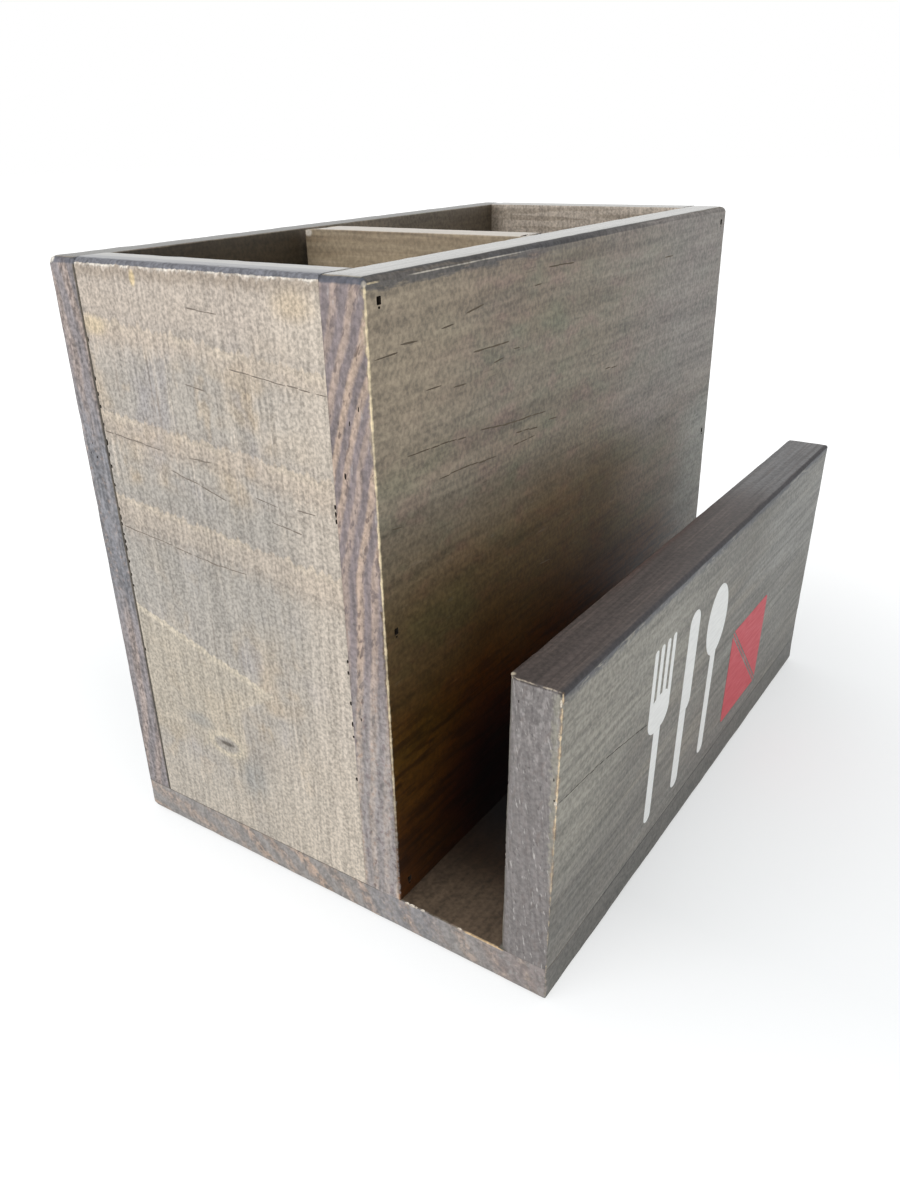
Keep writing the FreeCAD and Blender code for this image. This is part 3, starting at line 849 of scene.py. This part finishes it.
# ---- cracks, pits and chips, in millimetres: places where the wood itself is missing ----
MOUTH_SPARE = 0.05 * MM    # how far the hole reaches past each end of a brad's head
MOUTH_PARTS = ((-0.1, 0.66, 1.0), (-0.63, 0.2, 0.5))    # hole and dent: rise, height and width, in mouths
FRONT_CRACKS = [
    [(-88.4, 135.3), (-81.1, 135.5)], [(-81.0, 136.8), (-75.7, 136.6)], [(-66.7, 137.8), (-63.3, 138.0)],
    [(-58.1, 139.1), (-51.7, 140.0)], [(-56.0, 131.2), (-48.5, 131.0), (-40.9, 131.0)],
    [(-38.8, 128.9), (-36.7, 128.8)], [(-47.5, 127.4), (-43.9, 127.8)], [(-73.1, 126.7), (-68.5, 126.6)],
    [(-62.9, 125.4), (-58.4, 125.2)], [(-79.5, 115.2), (-69.0, 114.7), (-58.8, 114.0)],
    [(-53.0, 113.8), (-45.0, 113.0)], [(-44.0, 112.8), (-34.0, 112.2), (-23.7, 111.6)],
    [(-38.0, 109.5), (-28.3, 108.6)], [(-39.1, 106.9), (-29.5, 106.8)], [(-22.4, 108.9), (-18.1, 108.5)],
    [(-69.5, 107.6), (-58.0, 107.2), (-47.0, 106.5)], [(-86.1, 102.0), (-83.3, 101.6)],
    [(-30.5, 141.0), (-27.2, 141.1)], [(-24.0, 144.4), (-12.0, 144.0)], [(8.0, 115.2), (15.0, 115.0)],
    [(43.0, 139.6), (48.0, 139.5)], [(-24.5, 72.0), (-20.0, 71.6)],
]
PANEL_CRACKS = [
    [(12.1, 130.5), (0.0, 129.2), (-13.3, 128.1)], [(55.5, 111.7), (46.0, 110.8), (36.8, 110.0)],
    [(54.8, 88.4), (37.9, 86.7)], [(37.0, 86.6), (22.9, 84.9), (14.9, 84.9)],
    [(27.8, 109.4), (21.0, 109.7)], [(34.9, 105.7), (26.0, 103.8)], [(25.0, 103.6), (18.5, 101.7)],
    [(9.0, 104.0), (3.0, 103.0)], [(-3.0, 103.4), (-8.0, 103.2)], [(22.0, 141.6), (14.0, 141.0)],
    [(26.0, 126.0), (20.0, 125.2)], [(5.0, 99.2), (-4.0, 98.0)],
]
DIVIDER_CRACKS = [
    [(-16.9, -12.8), (-15.2, -12.9)], [(-15.3, -12.7), (-13.4, -12.7)], [(-13.1, -12.9), (-12.2, -12.9)],
    [(-12.0, -12.7), (-10.1, -12.9)], [(-10.2, -12.8), (-8.2, -12.8)],
]
LIP_CRACKS = [
    [(-89.8, 54.3), (-80.0, 53.4), (-69.0, 52.3)], [(-68.0, 52.1), (-57.0, 50.2), (-46.0, 48.1)],
]


class Rows:
    """Turns the places above into cutters for one face of one board."""

    @staticmethod
    def front(across, up):
        return Vector((across * MM, FRONT_FACE, up * MM))

    @staticmethod
    def left(across, up):
        return Vector((LEFT, across * MM, up * MM))

    @staticmethod
    def lip_corner(back, up):
        sizes = bpy.context.scene.caddy_sizes
        lean = sizes.lip_lean * (up * MM - FLOOR_TOP) / (LIP_TOP - FLOOR_TOP)
        return Vector((LEFT + sizes.lip_end_round / 2, LIP_INSIDE - lean + back * MM, up * MM))

    @staticmethod
    def top(along, back):
        return Vector((along * MM, back * MM, RIM))

    @staticmethod
    def lip(across, up):
        lean = bpy.context.scene.caddy_sizes.lip_lean
        return Vector((across * MM, FOOT - lean * (up * MM - FLOOR_TOP) / (LIP_TOP - FLOOR_TOP), up * MM))


def pits(face, normal, places, radii):
    """Small uneven pits on a face: (across, up) places, with three half-sizes in mm."""
    chance = random.Random(len(places))
    turn = Matrix((normal.cross(Vector(Z)), normal, Vector(Z))).transposed().to_quaternion()
    return [(face(*place), tuple(radius * MM * chance.uniform(0.6, 1.3) for radius in radii), turn)
            for place in places]


# ---- print ----
PRINT_THICKNESS = 0.06 * MM
PRINT_SUNK = 0.015 * MM


def bar(width, tall, across, up, corner, turn=0.0):
    """An upright printed bar with rounded corners, sizes and place in mm, lying flat."""
    select_none()
    bpy.ops.mesh.primitive_cube_add(size=1.0, location=(across * MM, up * MM, 0.0),
                                    rotation=(0.0, 0.0, math.radians(turn)),
                                    scale=(width * MM, tall * MM, PRINT_THICKNESS))
    piece = bpy.context.object
    bpy.ops.object.transform_apply(location=True, rotation=True, scale=True)
    bpy.ops.object.mode_set(mode="EDIT")
    pick(piece, "EDGE", runs_along(2))
    bpy.ops.mesh.bevel(offset=min(corner, width * 0.49) * MM, segments=6, affect="EDGES")
    select_none()
    return piece


def disc(half_width, half_tall, across, up):
    """A printed oval, sizes and place in mm, lying flat."""
    select_none()
    bpy.ops.mesh.primitive_cylinder_add(vertices=48, radius=1.0, depth=1.0,
                                        location=(across * MM, up * MM, 0.0),
                                        scale=(half_width * MM, half_tall * MM, PRINT_THICKNESS))
    bpy.ops.object.transform_apply(location=True, rotation=True, scale=True)
    return bpy.context.object


def set_print(name, shapes, across, up, material):
    """Merge flat shapes into one print and set it on the lip's leaning face, at a place in mm."""
    piece = shapes[0]
    for other in shapes[1:]:
        apply_modifier(piece, "BOOLEAN", operation="UNION", solver="MANIFOLD", object=other)
        bpy.data.objects.remove(other)
    piece.name = name
    piece.data.name = name
    lean = bpy.context.scene.caddy_sizes.lip_lean
    tilt = math.atan(lean / (LIP_TOP - FLOOR_TOP))
    foot = Rows.lip(across, up)
    piece.matrix_world = (Matrix.Translation(foot + Vector((0.0, -PRINT_THICKNESS / 2 + PRINT_SUNK, 0.0)))
                          @ Matrix.Rotation(math.pi / 2 + tilt, 4, "X"))
    make_active(piece)
    bpy.ops.object.transform_apply(location=True, rotation=True, scale=True)
    piece.data.materials.clear()
    piece.data.materials.append(material)
    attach(piece, "root")
    select_none()


def ink(name, colour):
    """Screen-print ink: a thin even film with a soft sheen, its tone mottled by the grain below."""
    material, tree = new_material(name)
    place = add(tree, "TexCoord", out="Object")
    mottle = stretched(tree, place, (5.0, 0.5, 0.5), 3.0)
    thinned = add(tree, "MapRange", (mottle, 0.35, 0.75), interpolation_type="SMOOTHSTEP")
    thin = tuple(part * 0.9 for part in colour) + (1.0,)
    shade = add(tree, "Mix", {0: thinned, 6: (*colour, 1.0), 7: thin}, out=2, data_type="RGBA")
    rough = add(tree, "MapRange", (mottle, 0.3, 0.7, 0.35, 0.5))
    lacquered(tree, shade, rough, mottle, 0.02 * MM)
    return material


# ---- stage: metres, and directions of unit length ----
LAMP_PLACE = (-0.95, 0.28, 0.62)
LAMP_SIZE = (0.9, 0.8)
LAMP_AIM = (0.0, 0.0, 0.07)
CAMERA_PLACE = (-0.22344, -0.13289, 0.17134)
CAMERA_RIGHT = (0.56073, -0.82768, -0.02293)
CAMERA_UP = (0.37291, 0.22771, 0.89949)
CAMERA_FORWARD = (0.73927, 0.51292, -0.43634)


# ---- operators ----
class CADDY_OT_stage(bpy.types.Operator):
    """Make the floor, the soft lamps, the plain surroundings and the camera"""

    bl_idname = "caddy.stage"
    bl_label = "Stage"

    def execute(self, context):
        values = context.scene.caddy_stage
        select_none()
        bpy.ops.mesh.primitive_plane_add(size=12.0, location=(0.0, 0.0, 0.0))
        floor = context.object
        floor.name = "floor"
        material, tree = new_material("floor_matt_white_board")
        camera_ray = add(tree, "LightPath", out="Is Camera Ray")
        paint = add(tree, "BsdfDiffuse", {"Color": (*values.floor, 1.0)})
        glow = add(tree, "Emission", {"Color": grey(1.0), "Strength": 1.2})
        place = add(tree, "TexCoord", out="Object")
        far = add(tree, "VectorMath", (place,), out="Value", operation="LENGTH")
        across = add(tree, "SeparateXYZ", (place,), out="X")
        # Seen by the camera, the floor partly glows white: fully far off, as a plain backdrop; less near the
        # caddy, where the glow is painted light that lightens the caddy's shadow, most at its left.
        near_share = add(tree, "MapRange", (across, -0.16, -0.05, 0.85, 0.4))
        share = add(tree, "MapRange", (far, 0.09, 0.32, near_share, 1.0), interpolation_type="SMOOTHSTEP")
        share = add(tree, "Math", (camera_ray, share), operation="MULTIPLY")
        shared = add(tree, "MixShader", (share, paint, glow))
        add(tree, "OutputMaterial", {"Surface": shared})
        floor.data.materials.append(material)

        world = bpy.data.worlds.new("plain_white_room")
        context.scene.world = world
        world.use_nodes = True
        tree = world.node_tree
        tree.nodes.clear()
        rays = tree.nodes.new("ShaderNodeLightPath").outputs
        seen = add(tree, "Math", (rays["Is Camera Ray"], rays["Is Glossy Ray"]), operation="MAXIMUM")
        seen = add(tree, "Math", (seen, rays["Is Transmission Ray"]), operation="MAXIMUM")
        strength = add(tree, "MapRange", (seen, 0.0, 1.0, values.ambient, 1.0))
        light = add(tree, "Background", {"Color": grey(1.0), "Strength": strength})
        add(tree, "OutputWorld", {"Surface": light})

        select_none()
        bpy.ops.object.light_add(type="AREA", location=LAMP_PLACE)
        lamp = context.object
        lamp.name = "key_lamp"
        lamp.data.shape = "RECTANGLE"
        lamp.data.size, lamp.data.size_y = LAMP_SIZE
        lamp.data.energy = values.key_power
        aim = Vector(LAMP_AIM) - lamp.location
        lamp.rotation_euler = aim.to_track_quat("-Z", "Y").to_euler()

        select_none()
        bpy.ops.object.camera_add(location=CAMERA_PLACE)
        camera = context.object
        camera.name = "camera"
        turn = Matrix((CAMERA_RIGHT, CAMERA_UP, -Vector(CAMERA_FORWARD))).transposed()
        camera.rotation_euler = turn.to_euler()
        camera.data.lens = values.lens
        camera.data.sensor_width = 36.0
        camera.data.sensor_fit = "AUTO"
        camera.data.clip_start = 0.01
        context.scene.camera = camera
        context.scene.view_settings.view_transform = "Standard"
        select_none()
        return {"FINISHED"}


class CADDY_OT_base(bpy.types.Operator):
    """Make the base board that every other board stands on"""

    bl_idname = "caddy.base_board"
    bl_label = "Base board"

    def execute(self, context):
        sizes = context.scene.caddy_sizes
        low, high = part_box("base_board")
        rounds = [(sizes.foot_round, {"z": low.z, "x": x}) for x in (low.x, high.x)]
        rounds.append((sizes.foot_round, {"z": low.z, "y": low.y}))
        rounds.append((sizes.back_foot_round, {"z": low.z, "y": high.y}))
        rounds += [(sizes.corner_ease, {"x": x, "y": y}) for x in (low.x, high.x) for y in (low.y, high.y)]
        pine = stained_pine("pine_stained_base", base_look())
        piece = board("base_board_dressed", pine, low, high, rounds)
        chips = pits(Rows.left, Vector(X), [(-25.8, 9.7), (-27.2, 9.6), (-28.4, 9.7), (-30.2, 9.6),
                                            (-40.6, 9.6)], (0.7, 0.5, 0.35))
        cut(piece, joined_cutters(bare_chip(), chips))
        finish_board(piece, "base_board")
        return {"FINISHED"}


class CADDY_OT_long_boards(bpy.types.Operator):
    """Make the front and back boards, which run the whole length"""

    bl_idname = "caddy.long_boards"
    bl_label = "Front and back boards"

    def execute(self, context):
        sizes = context.scene.caddy_sizes
        # The near-black crack material is stain, and painted shade where it lines brad holes, pits and gaps.
        dark = crack_material("pine_crack_dark_stain_and_shade", "#1F1811", "#332A20")
        shallow = crack_material("pine_crack_shallow", "#564A3B", "#6E6251")
        plans = (("front_board", 0, 1, front_board_look()), ("back_board", 1, 0, back_board_look()))
        for node, outer, inner, look in plans:
            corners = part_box(node)
            low, high = corners
            rounds = [(sizes.rim_round, {"y": corners[outer].y, "z": high.z}),
                      (sizes.inner_round, {"y": corners[inner].y, "z": high.z})]
            rounds.append((sizes.rim_round, {"x": low.x, "z": high.z}))
            rounds.append((sizes.end_round, {"x": high.x, "z": high.z}))
            for x in (low.x, high.x):
                rounds.append((sizes.corner_ease, {"x": x, "y": corners[outer].y}))
            piece = board(node + "_dressed", stained_pine("pine_stained_" + node, look), low, high, rounds)
            mouths = []
            for name in ("brads_" + node.split("_")[0] + "_left", "brads_" + node.split("_")[0] + "_right"):
                first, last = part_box(name)
                half = sizes.mouth_height / 2 - MOUTH_SPARE
                for z in (first.z + half, (first.z + last.z) / 2, last.z - half):
                    for part, tall, wide in MOUTH_PARTS:
                        centre = ((first.x + last.x) / 2, corners[outer].y, z + part * sizes.mouth_height)
                        mouths.append((centre, (sizes.mouth_width * wide, 2 * sizes.mouth_depth,
                                                sizes.mouth_height * tall)))
            cut(piece, mouth_cutter(dark, mouths))
            if node == "front_board":
                shapes = crack_shapes(FRONT_CRACKS, Rows.front, Vector(Y), 0.36 * MM, 0.14 * MM)
                cut_in_turn(piece, shallow, shapes)
                shapes = pits(Rows.left, Vector(X), [(-20.9, 126.5), (-18.5, 123.5), (-16.5, 112.9),
                                                      (-15.9, 57.2)], (0.2, 0.3, 0.6))
            else:
                shapes = pits(Rows.left, Vector(X), [(62.8, 105.5), (60.7, 104.7), (61.5, 108.0)],
                              (0.2, 0.3, 0.5))
            cut(piece, joined_cutters(dark, shapes))
            finish_board(piece, node)
        return {"FINISHED"}


class CADDY_OT_end_panels(bpy.types.Operator):
    """Make the two end panels between the long boards"""

    bl_idname = "caddy.end_panels"
    bl_label = "End panels"

    def execute(self, context):
        sizes = context.scene.caddy_sizes
        faded = crack_material("pine_crack_faded_stain", "#6E645A", "#8A7F74")
        dark = bpy.data.materials["pine_crack_dark_stain_and_shade"]
        plans = (("left_end_panel", 0, 1, left_panel_look()),
                 ("right_end_panel", 1, 0, panel_look(14.0, (88.3, 88.7), -9.0)))
        for node, outer, inner, look in plans:
            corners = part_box(node)
            low, high = corners
            rounds = [(sizes.rim_round, {"x": corners[outer].x, "z": high.z}),
                      (sizes.inner_round, {"x": corners[inner].x, "z": high.z})]
            piece = board(node + "_dressed", stained_pine("pine_stained_" + node, look), low, high, rounds)
            if node == "left_end_panel":
                shapes = crack_shapes(PANEL_CRACKS, Rows.left, Vector(X), 0.3 * MM, 0.1 * MM)
                cut_in_turn(piece, faded, shapes)
                seam = [(55.8, z) for z in (132.6, 123.9, 120.4, 117.5, 113.3, 109.0, 106.1, 103.2, 98.6,
                                            92.5, 90.4, 88.7, 86.0, 84.1, 82.3, 78.8, 75.2, 72.2, 54.0)]
                seam += [(-13.3, z) for z in (106.0, 104.4, 102.9, 71.0, 68.2, 60.5, 55.1, 51.8, 40.3)]
                cut_in_turn(piece, dark, pits(Rows.left, Vector(X), seam, (0.26, 0.4, 0.6)))
            finish_board(piece, node)
        return {"FINISHED"}


class CADDY_OT_divider(bpy.types.Operator):
    """Make the divider between the two compartments"""

    bl_idname = "caddy.divider"
    bl_label = "Divider"

    def execute(self, context):
        sizes = context.scene.caddy_sizes
        low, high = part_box("divider")
        rounds = [(sizes.divider_round, {"y": high.y, "z": high.z})]
        rounds += [(sizes.inner_round, {"x": x, "z": high.z}) for x in (low.x, high.x)]
        look = look_of(1, (20.0, 60.0), seed=12.0, face=linear("#A09078"), face_line=linear("#8C7A62"),
                       marks=[("#7C6A54", (3.0, 40.0, 3.0), 0.5, 0.66, 0.6),
                              ("#B5A48C", (3.0, 40.0, 2.0), 0.55, 0.7, 0.5)],
                       textures=[((1.0, 1.0, 1.0), 0.16), (by_grain(1, 26.0, 1.3), 0.12),
                                 (by_grain(1, 70.0, 5.0), 0.1)], areas=[
            ("#B8AE9F", 1.0, (RIM_TOP,), 0.1, "MIX", 0.3),
            # Painted highlight on the rounded top corner at the loose end.
            ("#E4DCD0", 0.8, (((-17.5, 53.4, 148.9), (0.6, 1.6, 1.2), 0.4, 1.0),), 0.4, "MIX")])
        piece = board("divider_dressed", stained_pine("pine_stained_divider", look), low, high, rounds)
        dark = bpy.data.materials["pine_crack_dark_stain_and_shade"]
        cut_in_turn(piece, dark, crack_shapes(DIVIDER_CRACKS, Rows.top, Vector(Z), 1.1 * MM, 1.4 * MM))
        finish_board(piece, "divider")
        return {"FINISHED"}


class CADDY_OT_lip(bpy.types.Operator):
    """Make the low lip in front of the napkin slot"""

    bl_idname = "caddy.lip"
    bl_label = "Front lip"

    def execute(self, context):
        sizes = context.scene.caddy_sizes
        low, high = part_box("front_lip")
        low = Vector((low.x, FOOT, low.z))
        rounds = [(sizes.corner_ease, {"x": x, "y": low.y}) for x in (low.x, high.x)]
        rounds += [(sizes.lip_end_round, {"x": x, "y": high.y}) for x in (low.x, high.x)]
        rounds.append((sizes.lip_round, {"y": low.y, "z": high.z}))
        rounds.append((sizes.lip_inner_round, {"y": high.y, "z": high.z}))
        rounds.append((sizes.corner_ease, {"x": low.x, "z": high.z}))
        rounds.append((sizes.end_round, {"x": high.x, "z": high.z}))
        piece = board("front_lip_dressed", stained_pine("pine_stained_lip", lip_look()), low, high, rounds,
                      lean=sizes.lip_lean)
        dark = bpy.data.materials["pine_crack_dark_stain_and_shade"]
        shapes = crack_shapes(LIP_CRACKS, Rows.lip, Vector(Y), 0.22 * MM, 0.15 * MM)
        shapes += pits(Rows.left, Vector(X), [(-63.4, 59.9), (-63.6, 55.0), (-55.5, 75.0)], (0.2, 0.3, 0.5))
        cut_in_turn(piece, dark, shapes)
        bare = bpy.data.materials["pine_bare_torn"]
        chips = pits(Rows.left, Vector(X), [(-64.4, 77.4), (-63.9, 54.4), (-64.2, 70.2)], (0.35, 0.4, 1.1))
        chips += pits(Rows.lip_corner, Vector(X), [(-0.3, z) for z in (54.0, 45.2, 38.5, 36.0, 34.4, 32.5)],
                      (0.45, 0.6, 0.7))
        cut(piece, joined_cutters(bare, chips))
        nick = [(Vector((-77.2 * MM, -52.5 * MM, LIP_TOP)), (4.0 * MM, 0.9 * MM, 0.8 * MM), Quaternion())]
        cut(piece, joined_cutters(bpy.data.materials["pine_stained_lip"], nick))
        finish_board(piece, "front_lip")
        return {"FINISHED"}


class CADDY_OT_brads(bpy.types.Operator):
    """Give the sunk brads their dull steel"""

    bl_idname = "caddy.brads"
    bl_label = "Brads"

    def execute(self, context):
        steel = dull_steel()
        for name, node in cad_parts.items():
            if name.startswith("brads_"):
                for index in range(max(1, len(node.material_slots))):
                    if not node.material_slots:
                        node.data.materials.append(steel)
                    node.material_slots[index].material = steel
        return {"FINISHED"}


class CADDY_OT_print(bpy.types.Operator):
    """Print a plain fork, knife, spoon and folded napkin on the lip"""

    bl_idname = "caddy.print"
    bl_label = "Print"

    def execute(self, context):
        fork = [bar(3.8, 30.0, 0.0, 15.0, 1.9), bar(12.4, 10.0, 0.0, 33.0, 4.5)]
        fork += [bar(2.0, 18.0, step * 3.46, 43.0, 0.9) for step in (-1.5, -0.5, 0.5, 1.5)]
        knife = [bar(6.6, 29.0, 1.0, 37.5, 3.2), bar(4.4, 27.0, -0.1, 13.5, 2.1)]
        spoon = [disc(7.2, 10.2, 0.0, 41.8), bar(3.8, 36.0, 0.0, 18.0, 1.9)]
        napkin = [bar(30.0, 30.0, 0.0, 15.0, 1.2)]
        fold = bar(1.1, 60.0, 0.0, 15.0, 0.1, turn=45.0)
        white = ink("ink_white_screen_print", context.scene.caddy_colours.white_ink)
        red = ink("ink_red_screen_print", context.scene.caddy_colours.red_ink)
        apply_modifier(fold, "SOLIDIFY", thickness=1 * MM, offset=0.0)
        apply_modifier(napkin[0], "BOOLEAN", operation="DIFFERENCE", solver="MANIFOLD", object=fold)
        bpy.data.objects.remove(fold)
        set_print("print_fork", fork, -39.0, 15.0, white)
        set_print("print_knife", knife, -21.5, 15.0, white)
        set_print("print_spoon", spoon, -3.0, 15.0, white)
        set_print("print_napkin", napkin, 29.0, 15.0, red)
        return {"FINISHED"}


class CADDY_PT_pieces(bpy.types.Panel):
    """The caddy's pieces, one button each"""

    bl_idname = "CADDY_PT_pieces"
    bl_label = "Caddy"
    bl_space_type = "VIEW_3D"
    bl_region_type = "UI"
    bl_category = "Caddy"

    def draw(self, context):
        for operator in OPERATORS:
            self.layout.operator(operator.bl_idname)


GROUPS = (CaddySizes, CaddyColours, CaddyStage)
OPERATORS = (CADDY_OT_stage, CADDY_OT_base, CADDY_OT_long_boards, CADDY_OT_end_panels,
             CADDY_OT_divider, CADDY_OT_lip, CADDY_OT_brads, CADDY_OT_print)


def register():
    """Add the caddy's classes and values to Blender."""
    for group in (*GROUPS, *OPERATORS, CADDY_PT_pieces):
        bpy.utils.register_class(group)
    bpy.types.Scene.caddy_sizes = PointerProperty(type=CaddySizes)
    bpy.types.Scene.caddy_colours = PointerProperty(type=CaddyColours)
    bpy.types.Scene.caddy_stage = PointerProperty(type=CaddyStage)


def unregister():
    """Take them out again."""
    del bpy.types.Scene.caddy_stage
    del bpy.types.Scene.caddy_colours
    del bpy.types.Scene.caddy_sizes
    for group in reversed((*GROUPS, *OPERATORS, CADDY_PT_pieces)):
        bpy.utils.unregister_class(group)


def main():
    """Make the whole caddy on its stage."""
    register()
    bpy.ops.caddy.stage()
    bpy.ops.caddy.base_board()
    bpy.ops.caddy.long_boards()
    bpy.ops.caddy.end_panels()
    bpy.ops.caddy.divider()
    bpy.ops.caddy.lip()
    bpy.ops.caddy.brads()
    bpy.ops.caddy.print()


if __name__ == "__main__":
    main()
